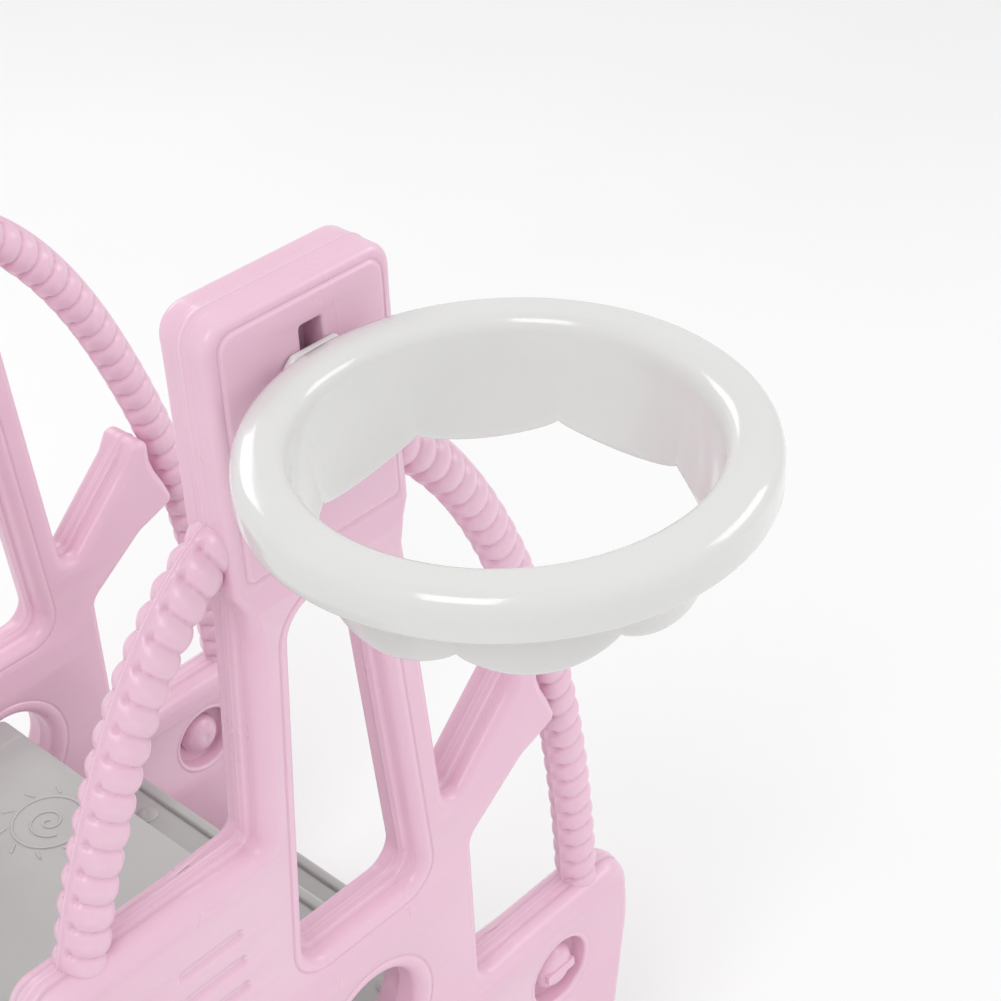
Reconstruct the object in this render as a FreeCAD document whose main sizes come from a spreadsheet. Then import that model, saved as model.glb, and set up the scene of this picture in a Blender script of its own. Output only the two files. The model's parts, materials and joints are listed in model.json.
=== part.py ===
"""Toddler slide with rope-pattern handrails, two steps, a two-section chute and a lift-off hoop.

Millimetres, +Z up, ground at Z = 0. The chute runs towards -X, the steps towards +X, the hoop -Y.
The parts are drawn about the point under the middle of the two posts; at export they move so that
the origin lies on the ground below the centre of the whole slide (sizes centre_x and centre_y).
"""
import FreeCAD, Part
import math
import os

os.makedirs("parts", exist_ok=True)
doc = FreeCAD.newDocument("toddler_slide")
V = FreeCAD.Vector

# ---------------------------------------------------------------- driving sizes
SIZES = {
    "panel_gap": 330.0, "panel_thick": 38.0, "side_play": 1.0, "edge_round": 7.0,
    "block_half": 60.0, "block_top": 845.0, "block_low": 688.0, "leg_top_half": 56.0,
    "leg_foot_half": 73.0, "leg_foot_level": 452.0, "body_half": 93.0, "body_top": 413.0,
    "skirt_half": 240.0, "step_skirt_top": 291.0, "slide_skirt_top": 521.0, "foot_half": 232.0,
    "sole_level": 3.0, "arch_half": 140.0, "arch_rise": 60.0,
    "frame_top_half": 27.0, "frame_low_half": 46.0, "frame_top": 659.0, "frame_low": 415.0,
    "port_radius": 36.0, "port_level": 325.0,
    "rail_centre_x": 12.0, "rail_centre_z": 270.0, "rail_rise": 465.0, "rail_reach_step": 190.0,
    "rail_reach_slide": 200.0, "rib_crown": 17.6, "rib_valley": 15.8, "rib_pitch": 15.7,
    "knob_x": 165.0, "knob_level": 235.0, "knob_well_radius": 25.5, "knob_well_depth": 13.0,
    "knob_bore_radius": 6.3, "knob_head_radius": 17.0, "knob_head_height": 11.0,
    "knob_shaft_radius": 6.0, "knob_quarter": 90.0,
    "bolt_shank_radius": 4.0, "bolt_shank_length": 62.0, "bolt_head_radius": 11.0,
    "bolt_head_height": 4.5, "bolt_hole_radius": 4.3,
    "deck_level": 368.0, "deck_apron": 45.0, "deck_flat": 90.0, "crest_radius": 260.0,
    "slope": 28.0, "bed_thick": 24.0, "runout_radius": 300.0, "runout_level": 48.0,
    "runout_flat": 96.0, "split_x": 440.0, "lap_length": 52.0, "lap_depth": 13.5,
    "lap_play": 0.4, "rim_width": 24.0, "rim_height": 50.0,
    "tread_rise": 122.5, "tread_run": 99.5, "tread_depth": 108.0, "tread_thick": 36.0,
    "nosing_depth": 9.0, "nosing_lift": 2.5, "plug_radius": 8.0, "plug_inset": 38.0,
    "bar_x": -186.0, "bar_level": 45.0, "bar_side": 40.0,
    "hoop_level": 804.5, "hoop_reach": 131.0, "hoop_radius": 125.0, "rim_width_hoop": 27.0,
    "rim_drop": 15.5, "rim_crown": 13.0, "skirt_taper": 6.2, "skirt_wall": 3.2,
    "skirt_notch": 42.5, "skirt_lobe": 53.4, "lobe_count": 8.0,
    "slot_half": 6.0, "slot_top": 822.0, "slot_low": 746.0, "slot_depth": 20.0,
    "catch_half": 15.0, "catch_top": 800.0, "hook_play": 0.6, "hoop_lift": 10.0,
    "centre_x": -343.73, "centre_y": -125.59,
}
sheet = doc.addObject("Spreadsheet::Sheet", "sizes")
for row, (alias, value) in enumerate(SIZES.items(), start=1):
    sheet.set("A%d" % row, alias)
    sheet.set("B%d" % row, repr(value))
    sheet.setAlias("B%d" % row, alias)
doc.recompute()


def size(alias):
    """Read one driving size back from the sheet."""
    return float(sheet.get(alias))


NODES = []


def keep(obj, label):
    """Give a finished sub-part its node name and remember it for export."""
    obj.Label = label
    NODES.append((obj, label))
    return obj


# ---------------------------------------------------------------- sketch helpers
def plane_of(body, role):
    return [f for f in body.Origin.OriginFeatures if f.Role == role][0]


def new_sketch(body, role, name, offset=0.0):
    sketch = body.newObject("Sketcher::SketchObject", name)
    sketch.AttachmentSupport = [(plane_of(body, role), "")]
    sketch.MapMode = "FlatFace"
    sketch.AttachmentOffset = FreeCAD.Placement(V(0, 0, offset), FreeCAD.Rotation())
    return sketch


def rounded(sketch, corners):
    """Closed outline through (x, y, corner radius) points, with tangent arcs at the corners."""
    count = len(corners)
    arcs = []
    for i in range(count):
        x, y, radius = corners[i]
        here = V(x, y, 0)
        before = V(corners[i - 1][0], corners[i - 1][1], 0)
        after = V(corners[(i + 1) % count][0], corners[(i + 1) % count][1], 0)
        u = (before - here).normalize()
        w = (after - here).normalize()
        if radius <= 0:
            arcs.append((here, here, None))
            continue
        half = math.acos(max(-1.0, min(1.0, u.dot(w)))) / 2.0
        reach = radius / math.tan(half)
        middle = here + (u + w).normalize() * (radius / math.sin(half))
        apex = middle + (here - middle).normalize() * radius
        arcs.append((here + u * reach, here + w * reach, apex))
    for i in range(count):
        start, end, apex = arcs[i]
        if apex is not None:
            sketch.addGeometry(Part.Arc(start, apex, end), False)
        following = arcs[(i + 1) % count][0]
        if (following - end).Length > 1e-6:
            sketch.addGeometry(Part.LineSegment(end, following), False)


def circle(sketch, x, y, radius):
    sketch.addGeometry(Part.Circle(V(x, y, 0), V(0, 0, 1), radius), False)


def pad(body, sketch, name, length, both=True):
    """Pad a sketch by a sheet expression, half to each side when both is set."""
    feature = body.newObject("PartDesign::Pad", name)
    feature.Profile = sketch
    feature.setExpression("Length", length)
    if both:
        feature.SideType = "Symmetric"
    sketch.Visibility = False
    return feature


def cut(body, sketch, name, length, both=False, reverse=False):
    feature = body.newObject("PartDesign::Pocket", name)
    feature.Profile = sketch
    feature.setExpression("Length", length)
    if both:
        feature.SideType = "Symmetric"
    feature.Reversed = reverse
    sketch.Visibility = False
    return feature


# ---------------------------------------------------------------- side panel
def panel_outline():
    """Head block, post, body, brace and the two skirts; X to the steps, Z up."""
    block, top, low = size("block_half"), size("block_top"), size("block_low")
    leg, foot, level = size("leg_top_half"), size("leg_foot_half"), size("leg_foot_level")
    body, shoulder = size("body_half"), size("body_top")
    skirt, sole, toe = size("skirt_half"), size("sole_level"), size("foot_half")
    step_top, slide_top = size("step_skirt_top"), size("slide_skirt_top")
    arch, rise = size("arch_half"), size("arch_rise")
    part_way = (low - 20 - slide_top) / (low - 20 - level)
    web = leg + (foot - leg) * part_way
    return [
        (-block, top, 14), (block, top, 14), (block, low, 9), (leg, low - 20, 20),
        (foot, level, 7), (160, 534, 6), (181, 462, 6), (140, 444, 40), (body, shoulder, 9),
        (body, step_top, 10), (skirt, step_top, 22), (skirt, 236, 80), (226, 150, 90),
        (221, 92, 60), (toe, 40, 40), (toe, sole, 8), (arch + 14, sole, 8), (arch - 12, rise, 34),
        (12 - arch, rise, 34), (-arch - 14, sole, 8), (-toe, sole, 8), (-toe, 40, 40),
        (-221, 92, 60), (-226, 150, 90), (-skirt, 236, 120), (-skirt, 330, 200),
        (-218, slide_top, 16), (-web, slide_top, 10), (-leg, low - 20, 20), (-block, low, 9),
    ]


def bolt_points():
    """X, Z of the through bolts of one panel: deck, two steps and the base bar."""
    deck_z = size("deck_level") - size("deck_apron") / 2.0
    points = [(-65.0, deck_z), (-150.0, deck_z)]
    for step in (1, 2):
        front = size("tread_run") * step
        level = size("deck_level") - size("tread_rise") * step - size("tread_thick") / 2.0
        points += [(front - 75.0, level), (front - 25.0, level)]
    points.append((size("bar_x"), size("bar_level")))
    return points


def rail_point(side, angle):
    """Centre of the hand rail at an ellipse angle, 0 at the outermost low end."""
    reach = size("rail_reach_step") if side > 0 else size("rail_reach_slide")
    x = side * (size("rail_centre_x") + reach * math.cos(angle))
    z = size("rail_centre_z") + size("rail_rise") * math.sin(angle)
    return V(x, 0, z)


def rail_top_angle(side):
    reach = size("rail_reach_step") if side > 0 else size("rail_reach_slide")
    return math.acos((size("block_half") - size("rail_centre_x") - 14.0) / reach)


def hand_rail(side, skirt_top):
    """Ribbed hand rail as one solid: round sections along the ellipse, three to each rib."""
    samples = 3000
    end = rail_top_angle(side)
    path = [rail_point(side, end * i / samples) for i in range(samples + 1)]
    crown, valley, pitch = size("rib_crown"), size("rib_valley"), size("rib_pitch")
    stations = [(valley, 0.25 * pitch), (crown, 0.5 * pitch), (crown, 0.25 * pitch)]
    sections = []
    travelled = 0.0
    target = 0.0
    for i in range(1, samples):
        travelled += (path[i] - path[i - 1]).Length
        if travelled < target:
            continue
        radius, step = stations[0]
        stations = stations[1:] + stations[:1]
        target += step
        if path[i].z > skirt_top - 20:
            tangent = (path[i + 1] - path[i - 1]).normalize()
            sections.append(Part.Wire([Part.Circle(path[i], tangent, radius).toShape()]))
    return Part.makeLoft(sections, True, True)


def build_panel():
    body = doc.addObject("PartDesign::Body", "PanelBody")
    outline = new_sketch(body, "XZ_Plane", "PanelOutline")
    rounded(outline, panel_outline())
    pad(body, outline, "Plate", "sizes.panel_thick")

    openings = new_sketch(body, "XZ_Plane", "PanelOpenings")
    top_half, low_half = size("frame_top_half"), size("frame_low_half")
    rounded(openings, [(-top_half, size("frame_top"), 18), (top_half, size("frame_top"), 18),
                       (low_half, size("frame_low"), 12), (-low_half, size("frame_low"), 12)])
    circle(openings, 0, size("port_level"), size("port_radius"))
    cut(body, openings, "Openings", "sizes.panel_thick + 2", both=True)
    doc.recompute()

    # The moulded edge runs round the outline and both openings on each face.
    half = size("panel_thick") / 2.0
    plate_feature = body.Tip
    plate = plate_feature.Shape
    rims = []
    for i, edge in enumerate(plate.Edges, start=1):
        box = edge.BoundBox
        if box.YLength < 0.01 and abs(abs(box.Center.y) - half) < 0.01:
            rims.append("Edge%d" % i)
    rounding = body.newObject("PartDesign::Fillet", "MouldedEdge")
    rounding.Base = (plate_feature, rims)
    rounding.setExpression("Radius", "sizes.edge_round")
    doc.recompute()

    # Round wells for the turn knobs, on both faces, with the knob bores between them.
    for tag, offset, reverse in (("Outer", half, False), ("Inner", -half, True)):
        wells = new_sketch(body, "XZ_Plane", "Wells" + tag, offset)
        for x in (-size("knob_x"), size("knob_x")):
            circle(wells, x, size("knob_level"), size("knob_well_radius"))
        cut(body, wells, "KnobWells" + tag, "sizes.knob_well_depth", reverse=reverse)
    bores = new_sketch(body, "XZ_Plane", "Bores")
    for x in (-size("knob_x"), size("knob_x")):
        circle(bores, x, size("knob_level"), size("knob_bore_radius"))
    for x, z in bolt_points():
        circle(bores, x, z, size("bolt_hole_radius"))
    cut(body, bores, "BoltHoles", "sizes.panel_thick + 2", both=True)

    # Keyhole in the outer face of the head block: a slot with a wider catch chamber behind it.
    slot = new_sketch(body, "XZ_Plane", "HookSlot", half)
    width = size("slot_half")
    rounded(slot, [(-width, size("slot_top"), 2), (width, size("slot_top"), 2),
                   (width, size("slot_low"), 2), (-width, size("slot_low"), 2)])
    cut(body, slot, "Slot", "sizes.slot_depth")
    chamber = new_sketch(body, "XZ_Plane", "CatchChamber", half - 8.0)
    wide = size("catch_half") + 1.5
    rounded(chamber, [(-wide, size("catch_top") + 13, 2), (wide, size("catch_top") + 13, 2),
                      (wide, size("slot_low"), 2), (-wide, size("slot_low"), 2)])
    cut(body, chamber, "Chamber", "sizes.slot_depth - 8")

    # Three finger grooves low on the slide side of the outer face.
    grooves = new_sketch(body, "XZ_Plane", "FingerGrooves", half)
    for row in range(3):
        z = 476.0 - 20.0 * row
        rounded(grooves, [(-133, z - 3, 2.9), (-88, z - 3, 2.9), (-88, z + 3, 2.9), (-133, z + 3, 2.9)])
    cut(body, grooves, "Grooves", "2 mm")
    doc.recompute()
    return body


panel_body = build_panel()
rails = doc.addObject("Part::Feature", "HandRails")
rails.Shape = Part.makeCompound([hand_rail(1, size("step_skirt_top")),
                                 hand_rail(-1, size("slide_skirt_top"))])
rails.Visibility = False
panel_left = doc.addObject("Part::MultiFuse", "PanelLeft")
panel_left.Shapes = [panel_body, rails]
doc.recompute()
panel_mirror = doc.addObject("Part::Mirroring", "PanelRight")
panel_mirror.Source = panel_left
panel_mirror.Normal = V(0, 1, 0)
doc.recompute()
panel_middle = size("panel_gap") / 2.0 + size("panel_thick") / 2.0
panel_left.Placement.Base = V(0, -panel_middle, 0)
doc.recompute()
keep(panel_left, "side_panel_left")
keep(panel_mirror, "side_panel_right")

# ---------------------------------------------------------------- chute
RAD = math.radians(size("slope"))
ALONG = V(-math.cos(RAD), -math.sin(RAD), 0)
DOWN = V(math.sin(RAD), -math.cos(RAD), 0)
LEVEL = size("deck_level")
CREST_END = V(-size("deck_flat") - size("crest_radius") * math.sin(RAD),
              LEVEL - size("crest_radius") * (1 - math.cos(RAD)), 0)
RUNOUT_START_Z = size("runout_level") + size("runout_radius") * (1 - math.cos(RAD))
SLOPE_LENGTH = (CREST_END.y - RUNOUT_START_Z) / math.sin(RAD)
RUNOUT_START = CREST_END + ALONG * SLOPE_LENGTH
RUNOUT_X = RUNOUT_START.x - size("runout_radius") * math.sin(RAD)
CHUTE_END_X = RUNOUT_X - size("runout_flat")
SPLIT = CREST_END + ALONG * ((size("split_x") + CREST_END.x) / math.cos(RAD))


def crest_point(drop, share):
    """Point under the bed surface by drop, at a share of the crest arc."""
    radius = size("crest_radius") - drop
    turn = RAD * share
    return V(-size("deck_flat") - radius * math.sin(turn),
             LEVEL - size("crest_radius") + radius * math.cos(turn), 0)


def runout_point(drop, share):
    radius = size("runout_radius") + drop
    turn = RAD * (1 - share)
    return V(RUNOUT_X + radius * math.sin(turn),
             size("runout_level") + size("runout_radius") - radius * math.cos(turn), 0)


def trace(sketch, pieces):
    """Closed chain: each piece is a point (straight to it) or (mid, end) of an arc."""
    start = pieces[0]
    here = start
    for piece in pieces[1:] + [start]:
        if isinstance(piece, tuple):
            middle, end = piece
            sketch.addGeometry(Part.Arc(here, middle, end), False)
        else:
            end = piece
            sketch.addGeometry(Part.LineSegment(here, end), False)
        here = end


def soften(body, name, radius, test):
    """Fillet the edges that pass a test, by a sheet expression."""
    base = body.Tip
    edges = ["Edge%d" % i for i, edge in enumerate(base.Shape.Edges, start=1) if test(edge)]
    feature = body.newObject("PartDesign::Fillet", name)
    feature.Base = (base, edges)
    feature.setExpression("Radius", radius)
    doc.recompute()
    return feature


def add_rims(body, trace_rim, tag):
    """One raised rim along each side of a chute section."""
    outer = size("panel_gap") / 2.0 - size("side_play")
    middle = outer - size("rim_width") / 2.0
    for side, name in ((-1, "Left"), (1, "Right")):
        rim = new_sketch(body, "XZ_Plane", tag + name, -side * middle)
        trace(rim, trace_rim)
        pad(body, rim, tag + "Pad" + name, "sizes.rim_width")
    doc.recompute()


def rim_top_edges(edge):
    """Long straight top edges of the rims on the slope."""
    box = edge.BoundBox
    if box.YLength > 0.01 or box.XLength < 20:
        return False
    point = edge.valueAt((edge.FirstParameter + edge.LastParameter) / 2.0)
    return point.z > bed_surface(point.x) + 12 and CHUTE_END_X + 60 < point.x < -265


def bed_surface(x):
    """Height of the sliding surface at X."""
    if x >= -size("deck_flat"):
        return LEVEL
    if x >= CREST_END.x:
        across = -size("deck_flat") - x
        return LEVEL - size("crest_radius") + math.sqrt(size("crest_radius") ** 2 - across ** 2)
    if x >= RUNOUT_START.x:
        return CREST_END.y - (CREST_END.x - x) * math.tan(RAD)
    if x >= RUNOUT_X:
        across = x - RUNOUT_X
        bowl = size("runout_radius")
        return size("runout_level") + bowl - math.sqrt(bowl ** 2 - across ** 2)
    return size("runout_level")


def build_upper_chute():
    thick = size("bed_thick")
    lap, depth = size("lap_length"), size("lap_depth")
    body = doc.addObject("PartDesign::Body", "ChuteUpper")
    side_view = new_sketch(body, "XZ_Plane", "ChuteUpperSide")
    apron = LEVEL - size("deck_apron")
    split_low = SPLIT + DOWN * depth
    trace(side_view, [
        V(0, LEVEL - 8, 0), (V(-8 + 8 * math.cos(math.pi / 4), LEVEL - 8 + 8 * math.sin(math.pi / 4), 0),
                            V(-8, LEVEL, 0)),
        V(-size("deck_flat"), LEVEL, 0), (crest_point(0, 0.5), CREST_END),
        SPLIT, split_low, split_low - ALONG * lap, SPLIT - ALONG * lap + DOWN * thick,
        crest_point(thick, 1.0), V(-168, apron, 0), V(0, apron, 0)])
    feature = pad(body, side_view, "Bed", "sizes.panel_gap - 2 * sizes.side_play")
    doc.recompute()
    lift = DOWN * (-size("rim_height"))
    rim = [V(-132, LEVEL - 10, 0), V(-150, LEVEL - 4, 0),
           (V(-196, LEVEL + 16, 0), CREST_END + ALONG * 30 + lift),
           SPLIT + lift, SPLIT + DOWN * (depth - 1), SPLIT - ALONG * (lap + 2) + DOWN * (depth - 1),
           crest_point(thick - 1, 1.0)]
    add_rims(body, rim, "UpperRim")
    soften(body, "UpperRimRound", "9 mm", rim_top_edges)
    # Bolt holes in the deck's sides.
    holes = new_sketch(body, "XZ_Plane", "DeckHoles", size("panel_gap") / 2.0)
    for x, z in bolt_points()[:2]:
        circle(holes, x, z, size("bolt_shank_radius") + 0.2)
    cut(body, holes, "DeckBoltHoles", "sizes.panel_gap", reverse=False)
    # Low raised ring: a plain moulded ornament near one edge of the deck.
    ornament = new_sketch(body, "XY_Plane", "Ornament", LEVEL)
    circle(ornament, -45, 56, 25)
    circle(ornament, -45, 56, 23)
    ring = body.newObject("PartDesign::Pad", "OrnamentRing")
    ring.Profile = ornament
    ring.setExpression("Length", "1 mm")
    ornament.Visibility = False
    doc.recompute()
    return body


def build_lower_chute():
    thick, play = size("bed_thick"), size("lap_play")
    lap, depth = size("lap_length"), size("lap_depth")
    body = doc.addObject("PartDesign::Body", "ChuteLower")
    side_view = new_sketch(body, "XZ_Plane", "ChuteLowerSide")
    first = SPLIT + ALONG * play
    shelf = first + DOWN * (depth + play)
    tip = SPLIT - ALONG * (lap - 1.5)
    end_x = CHUTE_END_X
    floor = size("runout_level")
    trace(side_view, [
        first, RUNOUT_START, (runout_point(0, 0.5), V(RUNOUT_X, floor, 0)),
        V(end_x + 14, floor, 0), (V(end_x + 14 - 14 * math.sin(math.pi / 4),
                                    floor - 14 + 14 * math.cos(math.pi / 4), 0), V(end_x, floor - 14, 0)),
        V(end_x, floor - thick, 0), V(RUNOUT_X, floor - thick, 0),
        (runout_point(thick, 0.5), runout_point(thick, 0.0)),
        tip + DOWN * thick, tip + DOWN * (depth + play), shelf])
    pad(body, side_view, "LowerBed", "sizes.panel_gap - 2 * sizes.side_play")
    doc.recompute()
    lift = DOWN * (-size("rim_height"))
    low_lift = V(0, 30, 0)
    sole = size("sole_level")
    rim = [first + lift, RUNOUT_START + lift * 0.9,
           (runout_point(-40, 0.55), V(RUNOUT_X - 10, floor + 32, 0)),
           V(end_x + 34, floor + 28, 0), (V(end_x + 10, floor + 17, 0), V(end_x, floor - 8, 0)),
           V(end_x + 6, sole, 0), V(RUNOUT_X - 4, sole, 0),
           runout_point(thick - 1, 0.25), first + DOWN * (depth - 1)]
    add_rims(body, rim, "LowerRim")
    inner = size("panel_gap") / 2.0 - size("side_play") - size("rim_width")
    soften(body, "LowerRimRound", "9 mm",
           lambda edge: rim_top_edges(edge) and abs(abs(edge.BoundBox.Center.y) - inner) < 0.1)
    return body


chute_upper = keep(build_upper_chute(), "chute_upper")
chute_lower = keep(build_lower_chute(), "chute_lower")

# ---------------------------------------------------------------- treads and base bar
def build_tread(step, label):
    front = size("tread_run") * step
    top = LEVEL - size("tread_rise") * step
    back = front - size("tread_depth")
    low = top - size("tread_thick")
    nose = size("nosing_depth")
    body = doc.addObject("PartDesign::Body", "Tread%d" % step)
    side_view = new_sketch(body, "XZ_Plane", "TreadSide%d" % step)
    flat = top - size("nosing_lift")
    rounded(side_view, [
        (back, flat, 4), (front - nose - 3, flat, 0.8), (front - nose - 2.5, flat - 2.2, 0.5),
        (front - nose - 0.5, flat - 2.2, 0.5), (front - nose, top, 2), (front, top, 4.3),
        (front, low + 6, 5), (front - 10, low, 6), (back, low, 5)])
    pad(body, side_view, "TreadBoard%d" % step, "sizes.panel_gap - 2 * sizes.side_play")
    doc.recompute()
    holes = new_sketch(body, "XZ_Plane", "TreadHoles%d" % step, size("panel_gap") / 2.0)
    for x, z in bolt_points()[2 * step:2 * step + 2]:
        circle(holes, x, z, size("bolt_shank_radius") + 0.2)
    cut(body, holes, "TreadBoltHoles%d" % step, "sizes.panel_gap", reverse=False)
    doc.recompute()
    return keep(body, label)


build_tread(1, "tread_upper")
build_tread(2, "tread_lower")

bar = doc.addObject("PartDesign::Body", "BaseBar")
bar_side = new_sketch(bar, "XZ_Plane", "BarSide")
reach = size("bar_side") / 2.0
rounded(bar_side, [(size("bar_x") - reach, size("bar_level") + reach, 8),
                   (size("bar_x") + reach, size("bar_level") + reach, 8),
                   (size("bar_x") + reach, size("bar_level") - reach, 8),
                   (size("bar_x") - reach, size("bar_level") - reach, 8)])
pad(bar, bar_side, "Bar", "sizes.panel_gap - 2 * sizes.side_play")
doc.recompute()
bar_holes = new_sketch(bar, "XZ_Plane", "BarHoles", size("panel_gap") / 2.0)
circle(bar_holes, size("bar_x"), size("bar_level"), size("bolt_shank_radius") + 0.2)
cut(bar, bar_holes, "BarBoltHoles", "sizes.panel_gap", reverse=False)
doc.recompute()
keep(bar, "base_bar")

# ---------------------------------------------------------------- fasteners
def dome(radius, height, axis_dir):
    """Low domed head: flat underside at the origin, crown towards axis_dir."""
    profile = Part.Wire([
        Part.makeLine(V(0, 0, 0), V(radius, 0, 0)),
        Part.makeLine(V(radius, 0, 0), V(radius, 0, height * 0.35)),
        Part.Arc(V(radius, 0, height * 0.35), V(radius * 0.74, 0, height * 0.84),
                 V(radius * 0.12, 0, height)).toShape(),
        Part.makeLine(V(radius * 0.12, 0, height), V(0, 0, height)),
        Part.makeLine(V(0, 0, height), V(0, 0, 0)),
    ])
    solid = Part.Face(profile).revolve(V(0, 0, 0), V(0, 0, 1), 360)
    solid.Placement = FreeCAD.Placement(V(0, 0, 0), FreeCAD.Rotation(V(0, 0, 1), axis_dir))
    return solid


def bolt(x, z, side):
    """Plastic through bolt from a panel's outer face into the board between the panels."""
    outer = side * (size("panel_gap") / 2.0 + size("panel_thick"))
    head = dome(size("bolt_head_radius"), size("bolt_head_height"), V(0, side, 0))
    key = Part.makeBox(12, 3, 2.4, V(-6, size("bolt_head_height") - 1.6, -1.2))
    key.Placement = FreeCAD.Placement(V(0, 0, 0), FreeCAD.Rotation(V(0, 0, 1), 0 if side > 0 else 180))
    head = head.cut(key)
    shank = Part.makeCylinder(size("bolt_shank_radius"), size("bolt_shank_length"), V(0, 0, 0), V(0, -side, 0))
    solid = head.fuse(shank).removeSplitter()
    solid.translate(V(x, outer, z))
    return solid


bolts = doc.addObject("Part::Feature", "PanelBolts")
bolts.Shape = Part.makeCompound([bolt(x, z, side) for side in (-1, 1) for x, z in bolt_points()])
keep(bolts, "panel_bolts")

# Screws that clamp the chute's lap from below, flush under the tongue.
SCREW_S = -26.0
screws = doc.addObject("Part::Feature", "ChuteScrews")
screw_solids = []
for y in (-96.0, -32.0, 32.0, 96.0):
    foot = SPLIT + ALONG * SCREW_S + DOWN * size("bed_thick")
    head = dome(7.0, 3.0, V(DOWN.x, 0, DOWN.y))
    shank = Part.makeCylinder(2.4, 18.0, V(0, 0, 0), V(-DOWN.x, 0, -DOWN.y))
    solid = head.fuse(shank).removeSplitter()
    solid.translate(V(foot.x, y, foot.y))
    screw_solids.append(solid)
screws.Shape = Part.makeCompound(screw_solids)
keep(screws, "chute_screws")


def drill(node, solids, grow):
    """Clear a set of cylinders (foot, direction, radius, length) out of a finished body."""
    tools = doc.addObject("Part::Feature", node.Name + "Drill")
    tools.Shape = Part.makeCompound([Part.makeCylinder(r + grow, n, p, d) for p, d, r, n in solids])
    tools.Visibility = False
    result = doc.addObject("Part::Cut", node.Name + "Drilled")
    result.Base = node
    result.Tool = tools
    doc.recompute()
    return result


up = V(-DOWN.x, 0, -DOWN.y)
shafts = []
for y in (-96.0, -32.0, 32.0, 96.0):
    foot = SPLIT + ALONG * SCREW_S + DOWN * size("bed_thick")
    start = V(foot.x, y, foot.y) - up * 2.0
    shafts.append((start, up, 2.4, 20.4))
for index, (node, label) in enumerate(list(NODES)):
    if label in ("chute_upper", "chute_lower"):
        drilled = drill(node, shafts, 0.15)
        drilled.Label = label + "_drilled"
        NODES[index] = (drilled, label)

# Caps over the moulding holes of each tread.
plugs = doc.addObject("Part::Feature", "TreadPlugs")
plug_solids = []
for step in (1, 2):
    x = size("tread_run") * step - 25.0
    top = LEVEL - size("tread_rise") * step - size("nosing_lift")
    for side in (-1, 1):
        solid = dome(size("plug_radius"), 2.6, V(0, 0, 1))
        solid.translate(V(x, side * (size("panel_gap") / 2.0 - size("plug_inset")), top))
        plug_solids.append(solid)
plugs.Shape = Part.makeCompound(plug_solids)
keep(plugs, "tread_plugs")

# ---------------------------------------------------------------- turn knobs
def knob(x, side, label, name):
    """Quarter-turn peg: domed grip in the outer well, shaft through the panel."""
    floor = side * (size("panel_gap") / 2.0 + size("panel_thick") - size("knob_well_depth"))
    head = dome(size("knob_head_radius"), size("knob_head_height"), V(0, side, 0))
    grip = Part.makeBox(26, 6, 7, V(-13, size("knob_head_height") - 4.5, -3.5))
    if side < 0:
        grip.Placement = FreeCAD.Placement(V(0, 0, 0), FreeCAD.Rotation(V(0, 0, 1), 180))
    web = size("panel_thick") - 2 * size("knob_well_depth")
    shaft = Part.makeCylinder(size("knob_shaft_radius"), web + 8.4, V(0, 0, 0), V(0, -side, 0))
    solid = head.fuse([grip, shaft]).removeSplitter()
    solid.translate(V(0, side * 0.3, 0))
    feature = doc.addObject("Part::Feature", name)
    feature.Shape = solid
    feature.Placement = FreeCAD.Placement(V(x, floor, size("knob_level")), FreeCAD.Rotation())
    keep(feature, label)


def knob_nut(x, side, label, name):
    """Domed lock nut on the knob's shaft, in the inner well."""
    floor = side * (size("panel_gap") / 2.0 + size("knob_well_depth"))
    cap = dome(size("knob_head_radius") - 1.0, 10.5, V(0, -side, 0))
    bore = Part.makeCylinder(size("knob_shaft_radius") + 0.05, 8.6, V(0, 0, 0), V(0, -side, 0))
    solid = cap.cut(bore)
    solid.translate(V(0, -side * 0.3, 0))
    feature = doc.addObject("Part::Feature", name)
    feature.Shape = solid
    feature.Placement = FreeCAD.Placement(V(x, floor, size("knob_level")), FreeCAD.Rotation())
    keep(feature, label)


for end, x in (("step", size("knob_x")), ("slide", -size("knob_x"))):
    for hand, side in (("left", -1), ("right", 1)):
        knob(x, side, "turn_knob_%s_%s" % (end, hand), "Knob%s%s" % (end, hand))
        knob_nut(x, side, "knob_nut_%s_%s" % (end, hand), "KnobNut%s%s" % (end, hand))

# ---------------------------------------------------------------- foot pads
pads = doc.addObject("Part::Feature", "FootPads")
pad_solids = []
for side in (-1, 1):
    for x in (-193.0, 193.0):
        block = Part.makeBox(58, 28, size("sole_level"), V(x - 29, side * panel_middle - 14, 0))
        pad_solids.append(block.makeFillet(6, [e for e in block.Edges if abs(e.BoundBox.ZLength) > 2.5]))
    rim_y = side * (size("panel_gap") / 2.0 - size("side_play") - size("rim_width") / 2.0)
    block = Part.makeBox(60, 18, size("sole_level"), V(CHUTE_END_X + 16, rim_y - 9, 0))
    pad_solids.append(block.makeFillet(6, [e for e in block.Edges if abs(e.BoundBox.ZLength) > 2.5]))
pads.Shape = Part.makeCompound(pad_solids)
keep(pads, "foot_pads")

# ---------------------------------------------------------------- hoop
def arc_edge(start, middle, end):
    return Part.Arc(start, middle, end).toShape()


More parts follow.
